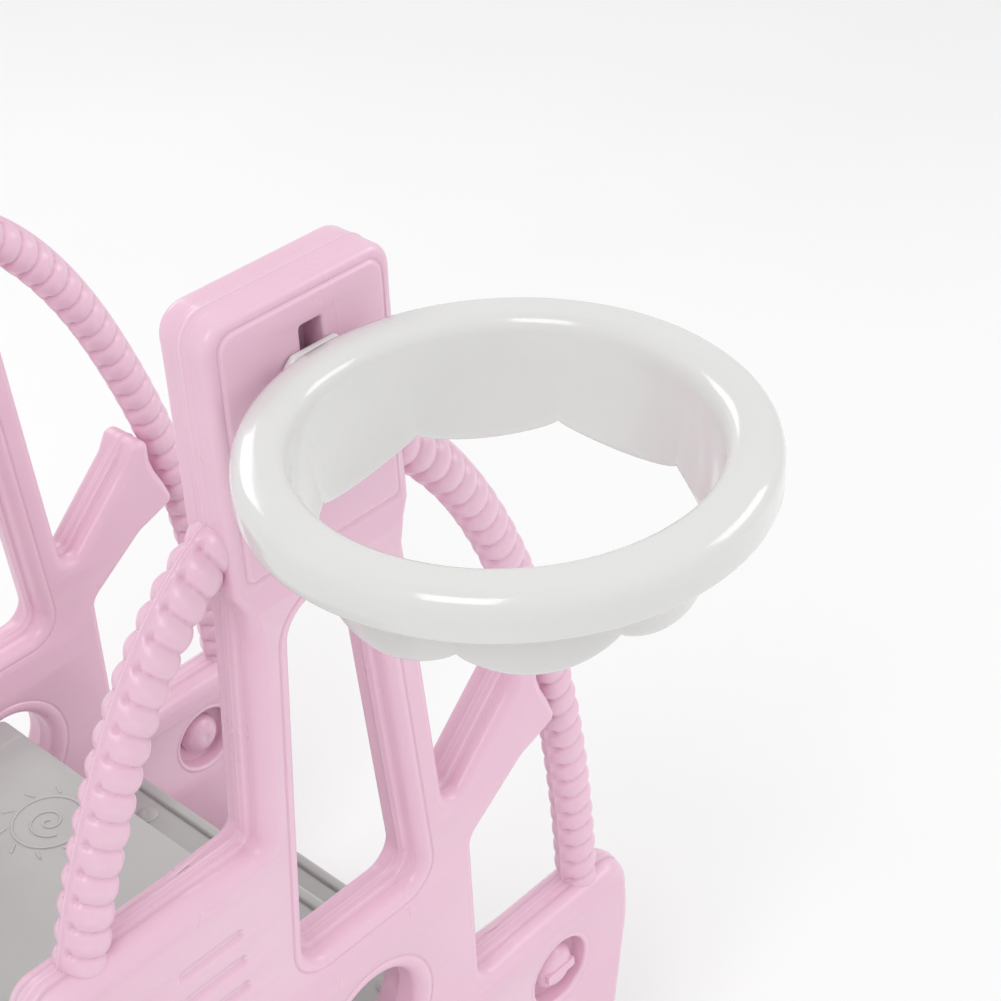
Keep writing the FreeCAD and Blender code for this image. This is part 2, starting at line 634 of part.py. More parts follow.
def hoop_ring():
    """Channel-shaped rim with a tapered, scalloped skirt, one moulding, centred on the origin."""
    outer = size("hoop_radius")
    wall = size("skirt_wall")
    drop = size("rim_drop")
    crown = size("rim_crown")
    inner = outer - size("rim_width_hoop")
    deep = size("skirt_lobe")
    foot = inner - size("skirt_taper")
    lip = Part.Wire([
        Part.makeLine(V(outer, 0, -drop), V(outer, 0, 0)),
        arc_edge(V(outer, 0, 0), V(outer - 4.6, 0, crown - 4.0), V(outer - 14, 0, crown)),
        arc_edge(V(outer - 14, 0, crown), V(inner + 3.4, 0, crown - 3.2), V(inner, 0, 0)),
        Part.makeLine(V(inner, 0, 0), V(foot, 0, -deep)),
        Part.makeLine(V(foot, 0, -deep), V(foot + wall, 0, -deep)),
        Part.makeLine(V(foot + wall, 0, -deep), V(inner + wall, 0, -2)),
        arc_edge(V(inner + wall, 0, -2), V(inner + 8, 0, crown - 6.4), V(outer - 13, 0, crown - 4.4)),
        arc_edge(V(outer - 13, 0, crown - 4.4), V(outer - 6.6, 0, crown - 7.4), V(outer - 4, 0, -2)),
        Part.makeLine(V(outer - 4, 0, -2), V(outer - 3.4, 0, -drop)),
        Part.makeLine(V(outer - 3.4, 0, -drop), V(outer, 0, -drop)),
    ])
    ring = Part.Face(lip).revolve(V(0, 0, 0), V(0, 0, 1), 360)
    # Pointed notches between the lobes along the skirt's lower edge.
    count = int(size("lobe_count"))
    rise = deep - size("skirt_notch")
    mean = foot + wall / 2.0
    half = math.pi * mean / count
    for i in range(count):
        outline = Part.Wire([
            arc_edge(V(0, -half, -2), V(0, -half * 0.42, 1.6), V(0, 0, rise)),
            arc_edge(V(0, 0, rise), V(0, half * 0.42, 1.6), V(0, half, -2)),
            Part.makeLine(V(0, half, -2), V(0, -half, -2))])
        tool = Part.Face(outline).extrude(V(30, 0, 0))
        tool.translate(V(mean - 15, 0, -deep))
        tool.rotate(V(0, 0, 0), V(0, 0, 1), 28.0 + 360.0 / count * i)
        ring = ring.cut(tool)
    return ring


def build_hoop():
    face = -(size("panel_gap") / 2.0 + size("panel_thick"))
    ring = hoop_ring()
    centre_y = face - size("hoop_reach")
    # Neck flange against the panel's face, the stem through the slot, the catch behind it.
    gap = size("hook_play")
    neck = Part.makeBox(42, size("hoop_reach") - (size("hoop_radius") - 12) - gap, 34,
                        V(-21, size("hoop_radius") - 12, -28))
    neck = neck.makeFillet(3, [e for e in neck.Edges if e.BoundBox.YLength > 3])
    top = size("catch_top") - size("hoop_level")
    low = size("slot_low") - size("hoop_level") + gap
    stem = Part.makeBox(2 * size("slot_half") - 2 * gap, 12.0 + gap, top - low,
                        V(-size("slot_half") + gap, size("hoop_reach") - gap - 2, low))
    catch = Part.makeBox(2 * size("catch_half"), 7.0, top - low,
                         V(-size("catch_half"), size("hoop_reach") + 8.0 + gap, low))
    plate = Part.makeBox(40, 6, neck.BoundBox.ZMax - low,
                         V(-20, size("hoop_reach") - gap - 6, low))
    solid = ring.fuse([neck, plate, stem, catch]).removeSplitter()
    feature = doc.addObject("Part::Feature", "Hoop")
    feature.Shape = solid
    feature.Placement = FreeCAD.Placement(V(0, centre_y, size("hoop_level")), FreeCAD.Rotation())
    return keep(feature, "hoop")


build_hoop()
doc.recompute()

# ---------------------------------------------------------------- checks and export
for obj in doc.Objects:
    for state in obj.State:
        if state in ("Invalid", "Error"):
            raise RuntimeError("%s is %s" % (obj.Name, state))
to_centre = V(-size("centre_x"), -size("centre_y"), 0)
for obj, label in NODES:
    shape = obj.Shape.copy()
    shape.translate(to_centre)
    if shape.isNull() or not shape.isValid():
        raise RuntimeError("%s has a bad shape" % label)
    shape.exportStep("parts/%s.step" % label)
    box = shape.BoundBox
    print("%-22s solids %2d  volume %10.0f  x %.1f..%.1f  y %.1f..%.1f  z %.1f..%.1f" % (
        label, len(shape.Solids), shape.Volume, box.XMin, box.XMax, box.YMin, box.YMax,
        box.ZMin, box.ZMax))
print("nodes", len(NODES))
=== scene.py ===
"""Looks of the toddler slide: pink blow-moulded side panels with rope-pattern rails, light grey
deck, chute and treads, and a glossy white ball hoop. Shapes are drawn in millimetres about the point
on the floor midway between the posts. Build.finish scales them to metres and moves them to the
frame's origin, below the centre of the bounding box. +X is the step side, -X the slide side, and
the hoop hangs at -Y."""
import json
import math
import bmesh
import bpy
import numpy as np
from mathutils import Matrix, Vector
from mathutils.geometry import tessellate_polygon


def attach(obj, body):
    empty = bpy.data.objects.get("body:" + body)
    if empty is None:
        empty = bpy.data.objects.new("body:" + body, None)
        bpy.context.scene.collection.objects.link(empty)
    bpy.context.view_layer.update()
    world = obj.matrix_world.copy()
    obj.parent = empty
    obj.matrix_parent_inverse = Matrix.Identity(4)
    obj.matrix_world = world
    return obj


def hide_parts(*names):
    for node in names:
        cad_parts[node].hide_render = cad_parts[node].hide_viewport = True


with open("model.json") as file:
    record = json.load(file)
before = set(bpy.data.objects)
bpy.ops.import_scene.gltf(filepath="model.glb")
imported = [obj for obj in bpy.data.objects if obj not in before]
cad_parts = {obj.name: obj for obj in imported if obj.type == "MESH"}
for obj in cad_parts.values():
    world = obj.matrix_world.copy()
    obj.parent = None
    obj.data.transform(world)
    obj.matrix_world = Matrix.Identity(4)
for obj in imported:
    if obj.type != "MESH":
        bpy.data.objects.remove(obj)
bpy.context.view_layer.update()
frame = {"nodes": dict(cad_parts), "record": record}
MM = 0.001
CENTRE = Vector((0.34373, 0.12559, 0.0))   # metres from the frame's origin to the drawing's origin
ROOT = "slide_frame"


# ---------------------------------------------------------------- materials
def linear(r, g, b):
    """A colour given as sRGB 0..255, in linear light and with alpha."""
    out = []
    for value in (r, g, b):
        c = value / 255.0
        out.append(c / 12.92 if c <= 0.04045 else ((c + 0.055) / 1.055) ** 2.4)
    return (*out, 1.0)


class Nodes:
    """Small helper around one material's node tree."""

    def __init__(self, name):
        self.material = bpy.data.materials.new(name)
        self.material.use_nodes = True
        self.tree = self.material.node_tree
        self.shader = self.tree.nodes["Principled BSDF"]
        self.coords = self.add("ShaderNodeTexCoord").outputs["Object"]

    def add(self, kind, **values):
        node = self.tree.nodes.new(kind)
        for key, value in values.items():
            setattr(node, key, value)
        return node

    def link(self, a, b):
        self.tree.links.new(a, b)

    def noise(self, scale, detail=3.0, rough=0.5, stretch=None):
        source = self.coords
        if stretch:
            mapping = self.add("ShaderNodeMapping")
            mapping.inputs["Scale"].default_value = stretch
            self.link(source, mapping.inputs["Vector"])
            source = mapping.outputs["Vector"]
        node = self.add("ShaderNodeTexNoise")
        node.inputs["Scale"].default_value = scale
        node.inputs["Detail"].default_value = detail
        node.inputs["Roughness"].default_value = rough
        self.link(source, node.inputs["Vector"])
        return node.outputs["Fac"]

    def remap(self, value, low, high, out_low, out_high):
        node = self.add("ShaderNodeMapRange")
        node.inputs["From Min"].default_value = low
        node.inputs["From Max"].default_value = high
        node.inputs["To Min"].default_value = out_low
        node.inputs["To Max"].default_value = out_high
        self.link(value, node.inputs["Value"])
        return node.outputs["Result"]

    def mix(self, factor, a, b):
        node = self.add("ShaderNodeMix", data_type="RGBA")
        self.link(factor, node.inputs["Factor"])
        for value, socket in ((a, node.inputs[6]), (b, node.inputs[7])):
            if isinstance(value, tuple):
                socket.default_value = value
            else:
                self.link(value, socket)
        return node.outputs[2]

    def bump(self, height, strength, distance, below=None):
        node = self.add("ShaderNodeBump")
        node.inputs["Strength"].default_value = strength
        node.inputs["Distance"].default_value = distance
        self.link(height, node.inputs["Height"])
        if below is not None:
            self.link(below, node.inputs["Normal"])
        return node.outputs["Normal"]


def plastic(name, base, deep, sheen_and_dust, rough, coat=0.0, skin=0.0, grain=900.0, grain_depth=0.00002,
            wave_depth=0.0004):
    """Moulded plastic: cloudy tint, a painted highlight that lightens convex edges and mould seams,
    light-coloured dust specks, orange-peel grain and a large soft wave.
    """
    n = Nodes(name)
    cloud = n.remap(n.noise(9.0, 4.0, 0.55), 0.32, 0.68, 0.0, 1.0)
    tint = n.mix(cloud, deep, base)
    pointy = n.add("ShaderNodeNewGeometry").outputs["Pointiness"]
    # Painted highlight: convex edges and mould seams (high pointiness) are mixed toward the light top-lit
    # tint, standing in for the sheen of light on rounded edges.
    edge_sheen = n.remap(pointy, 0.505, 0.56, 0.0, 0.55)
    tint = n.mix(edge_sheen, tint, sheen_and_dust)
    dust = n.remap(n.noise(420.0, 2.0, 0.7), 0.66, 0.80, 0.0, 0.22)
    tint = n.mix(dust, tint, sheen_and_dust)
    n.link(tint, n.shader.inputs["Base Color"])
    smear = n.noise(26.0, 5.0, 0.62, stretch=(1.0, 1.0, 0.35))
    n.link(n.remap(smear, 0.3, 0.7, rough - 0.05, rough + 0.09), n.shader.inputs["Roughness"])
    wave = n.bump(n.noise(14.0, 2.0, 0.4), 0.22, wave_depth)
    n.link(n.bump(n.noise(grain, 3.0, 0.6), 0.5, grain_depth, wave), n.shader.inputs["Normal"])
    n.shader.inputs["IOR"].default_value = 1.5
    n.shader.inputs["Coat Weight"].default_value = coat
    n.shader.inputs["Coat Roughness"].default_value = 0.12
    if skin:
        n.shader.inputs["Subsurface Weight"].default_value = skin
        n.shader.inputs["Subsurface Radius"].default_value = (1.0, 0.6, 0.7)
        n.shader.inputs["Subsurface Scale"].default_value = 0.006
    return n.material


# Each look's third colour is a light top-lit tint, used for the painted edge highlight and for the dust
# specks.
PINK = plastic("pink_plastic_skin",
               base=linear(234, 193, 213), deep=linear(231, 188, 209), sheen_and_dust=linear(243, 219, 230),
               rough=0.30, coat=0.25, skin=0.12)
GREY = plastic("grey_plastic_skin",
               base=linear(186, 188, 185), deep=linear(180, 182, 179), sheen_and_dust=linear(206, 207, 204),
               rough=0.42, coat=0.05, grain=1100.0)
WHITE = plastic("white_plastic_skin",
                base=linear(221, 221, 219), deep=linear(217, 217, 215), sheen_and_dust=linear(232, 232, 231),
                rough=0.14, coat=0.6, skin=0.08, grain=500.0, grain_depth=0.000008, wave_depth=0.0003)
RUBBER = plastic("rubber_skin",
                 base=linear(70, 70, 70), deep=linear(58, 58, 58), sheen_and_dust=linear(96, 96, 94),
                 rough=0.75, grain=1500.0, grain_depth=0.00008)
ZINC = plastic("zinc_skin",
               base=linear(176, 178, 182), deep=linear(160, 162, 166), sheen_and_dust=linear(205, 206, 210),
               rough=0.32, grain=700.0)
ZINC.node_tree.nodes["Principled BSDF"].inputs["Metallic"].default_value = 1.0
SLOT_LOOKS = {"pink_plastic": PINK, "grey_plastic": GREY, "white_plastic": WHITE,
              "dark_rubber": RUBBER, "zinc_steel": ZINC}


# ---------------------------------------------------------------- mesh building
class Build:
    """Rings of points in millimetres and the faces between them, for one piece."""

    def __init__(self):
        self.points = []
        self.faces = []

    def ring(self, points):
        first = len(self.points)
        self.points.extend([tuple(p) for p in points])
        return list(range(first, first + len(points)))

    def band(self, a, b, closed=True):
        count = len(a)
        for i in range(count if closed else count - 1):
            j = (i + 1) % count
            self.faces.append((a[i], a[j], b[j], b[i]))

    def skin(self, rings):
        """Bands from each ring to the next."""
        for a, b in zip(rings, rings[1:]):
            self.band(a, b)

    def fill(self, loops):
        """Flat cap through one outer loop of indices and any hole loops."""
        flat = [index for loop in loops for index in loop]
        coords = [[Vector(self.points[index]) for index in loop] for loop in loops]
        for triangle in tessellate_polygon(coords):
            self.faces.append(tuple(flat[k] for k in triangle))

    def close_ends(self, rings):
        self.fill([rings[0]])
        self.fill([rings[-1]])

    def finish(self, name, look, body=ROOT, sharp=38.0):
        """The mesh object, in the frame's metres and on its body. sharp is in degrees."""
        mesh = bpy.data.meshes.new(name)
        mesh.from_pydata([Vector(p) * MM + CENTRE for p in self.points], [], self.faces)
        mesh.validate()
        made = bpy.data.objects.new(name, mesh)
        bpy.context.scene.collection.objects.link(made)
        bm = bmesh.new()
        bm.from_mesh(mesh)
        bmesh.ops.remove_doubles(bm, verts=bm.verts, dist=1e-6)
        bmesh.ops.recalc_face_normals(bm, faces=bm.faces)
        bm.to_mesh(mesh)
        bm.free()
        mesh.polygons.foreach_set("use_smooth", [True] * len(mesh.polygons))
        mesh.set_sharp_from_angle(angle=math.radians(sharp))
        mesh.materials.append(look)
        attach(made, body)
        return made


SAME_POINT = 0.05


def rounded(corners, arc_step=9.0, line_step=14.0):
    """Closed outline of (x, z, radius) corners as an array of points. arc_step is in degrees."""
    count = len(corners)
    runs = []
    for i in range(count):
        x, z, radius = corners[i]
        here = np.array([x, z], float)
        before = np.array(corners[i - 1][:2], float) - here
        after = np.array(corners[(i + 1) % count][:2], float) - here
        before /= np.linalg.norm(before)
        after /= np.linalg.norm(after)
        half = math.acos(float(np.clip(before @ after, -1, 1))) / 2
        centre = here + (before + after) / np.linalg.norm(before + after) * radius / math.sin(half)
        start = here + before * radius / math.tan(half)
        end = here + after * radius / math.tan(half)
        a0 = math.atan2(*(start - centre)[::-1])
        a1 = math.atan2(*(end - centre)[::-1])
        turn = (a1 - a0 + math.pi) % (2 * math.pi) - math.pi
        steps = max(2, int(math.ceil(abs(math.degrees(turn)) / arc_step)))
        angles = a0 + turn * np.linspace(0, 1, steps + 1)
        runs.append(centre + radius * np.stack([np.cos(angles), np.sin(angles)], 1))
    points = []
    for i in range(count):
        points.extend(runs[i])
        gap = runs[(i + 1) % count][0] - runs[i][-1]
        pieces = int(np.linalg.norm(gap) // line_step)
        for k in range(1, pieces + 1):
            points.append(runs[i][-1] + gap * k / (pieces + 1))
    clean = [points[0]]
    for p in points[1:]:
        if np.linalg.norm(p - clean[-1]) > SAME_POINT:
            clean.append(p)
    if np.linalg.norm(clean[0] - clean[-1]) < SAME_POINT:
        clean.pop()
    return np.array(clean)


def inward(points, hole=False):
    """Unit normals into the material at each point of an outline, or of a hole's edge."""
    following = np.roll(points, -1, 0)
    tangent = following - np.roll(points, 1, 0)
    tangent /= np.linalg.norm(tangent, axis=1)[:, None]
    normal = np.stack([-tangent[:, 1], tangent[:, 0]], 1)
    area = 0.5 * np.sum(points[:, 0] * following[:, 1] - following[:, 0] * points[:, 1])
    if (area < 0) != hole:
        normal = -normal
    return normal


def smooth_step(low, high, value):
    """0 at low, 1 at high and an S curve between. low may be above high."""
    t = np.clip((value - low) / (high - low), 0.0, 1.0)
    return t * t * (3.0 - 2.0 * t)


def quarter_angles(steps):
    """Angles of a quarter turn in equal steps, in radians."""
    return [math.radians(90.0 * k / steps) for k in range(steps + 1)]


def hand_name(sign):
    return "left" if sign < 0 else "right"


# ---------------------------------------------------------------- side panels
THICK, PLATE_RISE = 38.0, 1.0
HALF = THICK / 2.0 - PLATE_RISE          # from mid plane to the flat face
PANEL_Y = 184.0
BLOCK, TOP, BLOCK_LOW = 60.0, 845.0, 688.0
LEG, FOOT, FOOT_LEVEL = 56.0, 73.0, 452.0
SLIDE_TOP, STEP_TOP = 521.0, 291.0
WEB = LEG + (FOOT - LEG) * (BLOCK_LOW - 20 - SLIDE_TOP) / (BLOCK_LOW - 20 - FOOT_LEVEL)
# Corners as (x, z, radius), clockwise seen from -Y and starting at the head block's top.
PANEL = [
    (-BLOCK - 2, TOP, 16), (BLOCK, TOP, 16), (BLOCK, BLOCK_LOW, 8), (LEG, BLOCK_LOW - 12, 8),
    (FOOT, FOOT_LEVEL, 7), (151, 527, 8), (169, 461, 6), (138, 445, 40), (93, 413, 9),
    (93, STEP_TOP, 10), (240, STEP_TOP, 22), (240, 236, 80), (226, 150, 90), (221, 92, 60),
    (232, 40, 40), (232, 3, 9), (154, 3, 9), (128, 60, 34), (-128, 60, 34), (-154, 3, 9),
    (-232, 3, 9), (-232, 40, 40), (-221, 92, 60), (-226, 150, 90), (-240, 236, 120),
    (-240, 330, 200), (-218, SLIDE_TOP, 18), (-WEB, SLIDE_TOP, 6), (-LEG, BLOCK_LOW - 12, 8),
    (-BLOCK - 2, BLOCK_LOW, 8)]
TIGHT_CORNERS = [(BLOCK, BLOCK_LOW), (-BLOCK, BLOCK_LOW), (232, 3), (-232, 3), (154, 3), (-154, 3),
                 (151, 527), (169, 461)]
TIGHT_RADIUS = 4.6
FRAME_HOLE = [(-27, 659, 18), (27, 659, 18), (46, 415, 13), (-46, 415, 13)]
PORT_Z, PORT_RADIUS = 325.0, 36.0
WELLS = [(165, 235), (-165, 235)]
WELL_RADIUS, WELL_DEPTH = 25.5, 13.0
GRIP_TOP, GRIP_PITCH, GRIP_HALF, GRIP_ROUND = 476.0, 20.0, 4.0, 3.9
SLOT_DEPTH = 14.0


def disc(x, z, radius, count=64):
    angles = np.linspace(0, 2 * math.pi, count, endpoint=False)
    return np.stack([x + radius * np.cos(angles), z + radius * np.sin(angles)], 1)


def box(left, right, low, high, radius):
    """Corners of an upright rectangle, for rounded()."""
    return [(left, high, radius), (right, high, radius), (right, low, radius), (left, low, radius)]


def edge_shape(points):
    """Rounding radius and depth of the cove beside the mould seam at each outline point."""
    x, z = points[:, 0], points[:, 1]
    slide_skirt = smooth_step(SLIDE_TOP - 26, SLIDE_TOP - 4, z) * smooth_step(-72, -124, x)
    step_skirt = smooth_step(STEP_TOP - 30, STEP_TOP - 6, z) * smooth_step(98, 146, x)
    skirt = np.maximum(slide_skirt * (z < SLIDE_TOP + 4), step_skirt * (z < STEP_TOP + 4))
    radius = 7.4 + 6.0 * skirt
    radius = radius - 2.2 * smooth_step(690, 700, z)
    cove = 2.5 - 1.6 * skirt
    cove = cove - 1.9 * smooth_step(676, 690, z) - 0.5 * smooth_step(815, 840, z)
    for corner_x, corner_z in TIGHT_CORNERS:
        near = smooth_step(26, 12, np.hypot(x - corner_x, z - corner_z))
        radius = radius + (TIGHT_RADIUS - radius) * near
        cove = cove * (1 - near)
    return radius, np.maximum(cove, 0.05)


def panel_side_rings(build, outline, y_sign):
    """Rings from the raised seam at mid thickness, past the cove and over the rounded edge."""
    normal = inward(outline)
    radius, cove = edge_shape(outline)
    full = np.ones(len(outline))
    rings = []

    def place(depth, out):
        flat = outline + normal * np.asarray(depth)[:, None]
        y = y_sign * np.asarray(out)
        rings.append(build.ring(np.stack([flat[:, 0], y, flat[:, 1]], 1)))

    # Depth into the material, share of the cove's depth and height above mid plane.
    seam = [(-0.5, 0, 0.5), (-0.1, 0, 1.1), (0.0, 0, 1.9), (0.0, 0, 3.6), (0.1, 0.1, 4.5),
            (0.1, 0.35, 5.1), (0.0, 0.8, 5.5), (0.0, 1.0, 6.2), (0.0, 1.05, 7.2)]
    for depth, share, out in seam:
        place(depth * full + share * cove, out * full)
    for a in quarter_angles(8):
        place(cove * 0.9 + radius * (1 - math.cos(a)), HALF - radius + radius * math.sin(a))
    place(cove * 0.9 + radius + 0.8, HALF * full)
    return rings


def edge_rings(build, points, profile, y_sign, hole=True):
    """Rings along an edge: profile of (distance into the material, height above mid plane)."""
    normal = inward(points, hole=hole)
    rings = []
    for depth, out in profile:
        flat = points + normal * depth
        y = np.full(len(points), y_sign * out)
        rings.append(build.ring(np.stack([flat[:, 0], y, flat[:, 1]], 1)))
    return rings


def quarter(radius, base, steps=6):
    """Convex rounding from an opening's wall onto the face at height base."""
    return [(radius * (1 - math.cos(a)), base - radius + radius * math.sin(a))
            for a in quarter_angles(steps)]


def block_plate(build, y_sign, with_slot):
    """Raised face of the head block inside its groove, with the hook slot on the panel's outer
    side. Returns the ring where it meets the block's face."""
    plate = rounded([(-54.2, 837.6, 10), (52.6, 837.6, 10), (52.6, 694, 5), (-54.2, 694, 5)],
                    arc_step=12.0)
    profile = [(-0.9, HALF), (-0.4, HALF - 0.35), (0.1, HALF - 0.4), (0.6, HALF), (1.1, HALF + 0.5),
               (1.9, HALF + 0.9), (3.0, HALF + PLATE_RISE)]
    rings = edge_rings(build, plate, profile, y_sign, hole=False)
    build.skin(rings)
    caps = [rings[-1]]
    if with_slot:
        slot = rounded(box(-4.4, 10.4, 746, 822, 2), arc_step=18.0)
        walls = [(0.0, HALF - SLOT_DEPTH), (0.0, HALF - 0.8)] + quarter(1.8, HALF + PLATE_RISE, 3)[1:]
        sides = edge_rings(build, slot, walls, y_sign)
        build.skin(sides)
        build.fill([sides[0]])
        caps.append(sides[-1])
    build.fill(caps)
    return rings[0]


def knob_well(build, x, z, y_sign):
    """Round well of a turn knob, in a shallow groove. Returns the ring where it meets the face."""
    profile = [(-2.5, HALF - WELL_DEPTH), (-0.7, HALF - 12.2), (0.0, HALF - 10.5), (0.0, HALF - 2.6)]
    profile += quarter(2.6, HALF, 4)[1:]
    profile += [(3.4, HALF - 0.35), (4.2, HALF - 0.5), (5.0, HALF - 0.3), (5.8, HALF)]
    well = edge_rings(build, disc(x, z, WELL_RADIUS, 56), profile, y_sign)
    build.skin(well)
    centre = build.ring([(x, y_sign * (HALF - WELL_DEPTH), z)])[0]
    foot = well[0]
    for i, start in enumerate(foot):
        build.faces.append((start, foot[(i + 1) % len(foot)], centre))
    return well[-1]


def grip_groove(build, z, y_sign):
    """Short shallow groove of the grip pattern. Returns the ring where it meets the face."""
    low, high = z - GRIP_HALF, z + GRIP_HALF
    line = rounded([(-134, low, GRIP_ROUND), (-88, low, GRIP_ROUND), (-88, high, GRIP_ROUND),
                    (-134, high, GRIP_ROUND)], arc_step=22.0)
    profile = [(-3.2, HALF - 2.4), (-2.2, HALF - 2.2), (-0.9, HALF - 1.2), (0.2, HALF - 0.3), (1.2, HALF)]
    groove = edge_rings(build, line, profile, y_sign)
    build.skin(groove)
    build.fill([groove[0]])
    return groove[-1]


def make_panel(hand):
    """One side panel. hand is -1 for the hoop side and +1 for the far side."""
    build = Build()
    outline = rounded(PANEL)
    frame_hole = rounded(FRAME_HOLE, arc_step=7.0)
    port = disc(0, PORT_Z, PORT_RADIUS, 80)
    seam = [(-0.4, 0.45), (0.0, 1.0), (0.0, 3.6), (0.25, 4.5), (0.9, 5.1), (1.9, 5.6), (2.3, 6.4),
            (2.4, 7.4)]
    groove = [(9.9, HALF - 0.05), (10.4, HALF - 0.5), (10.9, HALF - 0.85), (11.5, HALF - 0.8),
              (12.0, HALF - 0.3), (12.6, HALF)]
    frame_bevel = seam + [(d + 2.4, y) for d, y in quarter(7.2, HALF, 7)] + groove
    port_bevel = [(-0.3, 0.45), (0.0, 1.0)] + quarter(8.2, HALF, 7) + groove
    middles = []
    for y_sign in (-1, 1):
        rings = panel_side_rings(build, outline, y_sign)
        build.skin(rings)
        frame_rings = edge_rings(build, frame_hole, frame_bevel, y_sign)
        port_rings = edge_rings(build, port, port_bevel, y_sign)
        build.skin(frame_rings)
        build.skin(port_rings)
        holes = [frame_rings[-1], port_rings[-1]]
        for x, z in WELLS:
            holes.append(knob_well(build, x, z, y_sign))
        outer_face = y_sign == hand
        if outer_face:
            for row in range(3):
                holes.append(grip_groove(build, GRIP_TOP - GRIP_PITCH * row, y_sign))
        holes.append(block_plate(build, y_sign, outer_face))
        build.fill([rings[-1]] + holes)
        middles.append((rings[0], frame_rings[0], port_rings[0]))
    # Join both halves at mid thickness.
    for a, b in zip(*middles):
        build.band(a, b)
    build.points = [(x, y + hand * PANEL_Y, z) for x, y, z in build.points]
    tag = hand_name(hand)
    made = build.finish("panel_shell_" + tag, PINK)
    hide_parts("side_panel_" + tag)


# ---------------------------------------------------------------- rope-pattern rails
RAIL_X, RAIL_Z, PITCH = 12.0, 270.0, 15.7
RINGS_PER_LOBE = 16
# Angles round the section from the outer seam to the inner one, closer at the seams and dents.
SECTION_ANGLES = np.array([
    0, 0.025, 0.05, 0.085, 0.13, 0.2, 0.28, 0.36, 0.44, 0.52, 0.66, 0.82, 1.0, 1.18, 1.38, 1.6, 1.82,
    2.04, 2.26, 2.46, 2.66, 2.84, 2.98, 3.06, 3.11, math.pi])


def rail_path(side):
    """Evenly spaced points (x, z) on the rail's ellipse and the distance along it."""
    reach, rise = (190.0, 465.0) if side > 0 else (200.0, 459.0)
    skirt = STEP_TOP if side > 0 else SLIDE_TOP
    top = math.acos((BLOCK - RAIL_X - 12.0) / reach)
    low = math.asin((skirt - 24 - RAIL_Z) / rise)
    fine = np.linspace(low, top, 4000)
    z = RAIL_Z + rise * np.sin(fine)
    inset = 3.2 * smooth_step(440, 600, z) if side > 0 else 2.4 + 1.4 * smooth_step(545, 600, z)
    x = side * (RAIL_X + reach * np.cos(fine) - inset)
    length = np.concatenate([[0], np.cumsum(np.hypot(np.diff(x), np.diff(z)))])
    along = np.linspace(0, length[-1], int(length[-1] / PITCH * RINGS_PER_LOBE))
    return np.interp(along, length, x), np.interp(along, length, z), along


def lobe_radius(crown, away, along):
    """Rail radius at angles away from the outer seam: fat slanted lobes, dents and both seams."""
    phase = along / PITCH + 0.20 * away / (math.pi / 2)
    lobe = np.abs(np.sin(math.pi * phase)) ** 0.5
    flank = smooth_step(0.08, 0.40, away) * (1 - 0.8 * smooth_step(2.9, 3.1, away))
    radius = crown - 3.2 * (1 - lobe) * flank
    beat = (0.5 + 0.5 * np.cos(2 * math.pi * (phase - 0.06))) ** 3
    radius = radius - 1.5 * beat * np.exp(-((away - 0.36) / 0.13) ** 2)
    radius = radius - 2.0 * beat * np.exp(-((math.pi - away - 0.42) / 0.2) ** 2)
    swell = np.exp(-((away - 0.95) / 0.34) ** 2) * np.exp(-(((phase % 1.0) - 0.5) / 0.2) ** 2)
    radius = radius + 0.55 * swell - 0.35 * np.exp(-((away - 0.13) / 0.05) ** 2)
    outer_seam = 0.9 * np.exp(-(away / 0.042) ** 2)
    inner_seam = 0.6 * np.exp(-((math.pi - away) / 0.05) ** 2)
    return radius + outer_seam + inner_seam


def make_rail(hand, side):
    """Rope rail along the ellipse: slanted fat lobes on both flanks of a raised mould seam."""
    x, z, along = rail_path(side)
    crown = 14.0 if side > 0 else 14.8
    tx, tz = np.gradient(x), np.gradient(z)
    norm = np.hypot(tx, tz)
    tx, tz = tx / norm, tz / norm
    nx, nz = tz * side, -tx * side
    turns = np.concatenate([SECTION_ANGLES, -SECTION_ANGLES[-2:0:-1]])
    build = Build()
    rings = []
    for i in range(len(along)):
        radius = lobe_radius(crown, np.abs(turns), along[i])
        out = radius * np.cos(turns)
        y = hand * PANEL_Y + radius * np.sin(turns)
        rings.append(build.ring(np.stack([x[i] + nx[i] * out, y, z[i] + nz[i] * out], 1)))
    build.skin(rings)
    build.close_ends(rings)
    tag = hand_name(hand) + ("_step" if side > 0 else "_slide")
    build.finish("rope_rail_" + tag, PINK, sharp=70.0)


# ---------------------------------------------------------------- hoop
HOOP_Y, HOOP_Z = -334.0, 804.5
HOOP_STATIONS, SCALLOPS = 384, 8
SCALLOP_TURN = math.radians(28)
SKIRT_TOP, SKIRT_TAPER = -8.0, 6.2
WALL_SHARES = (0.0, 0.12, 0.28, 0.46, 0.64, 0.8, 0.92, 1.0)
OUTER_SHARES = (1.0, 0.92, 0.8, 0.64, 0.46, 0.30, 0.12)


